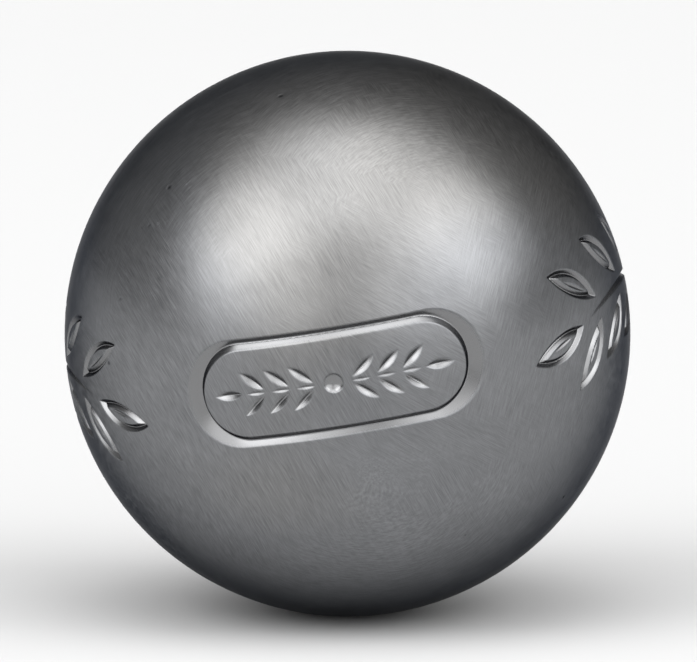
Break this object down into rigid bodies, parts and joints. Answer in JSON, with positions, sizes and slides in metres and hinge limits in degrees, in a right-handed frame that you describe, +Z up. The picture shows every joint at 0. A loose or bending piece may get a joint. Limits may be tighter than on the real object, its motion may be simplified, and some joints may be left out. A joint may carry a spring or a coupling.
{
  "type": "petanque boule",
  "caption": "Hollow steel throwing ball: turned half shells joined by a flush ring of weld metal, with an engraved medallion and leaf sprigs round its middle.",
  "frame": {"origin": "centre of the ball", "axes": "+Z up as it lies, -Y through the front where the medallion is, +X to the right of someone who faces the medallion"},
  "size_m": [0.074, 0.074, 0.074],
  "materials": {
    "shell_steel": "dark satin steel, brushed in crossing directions, with small nicks and brighter cut edges on the engraving",
    "weld_steel": "filler metal ground and brushed flush with the shells"
  },
  "bodies": {
    "root": {"right_half_shell": "shell_steel", "left_half_shell": "shell_steel", "weld_ring": "weld_steel"}
  },
  "joints": []
}
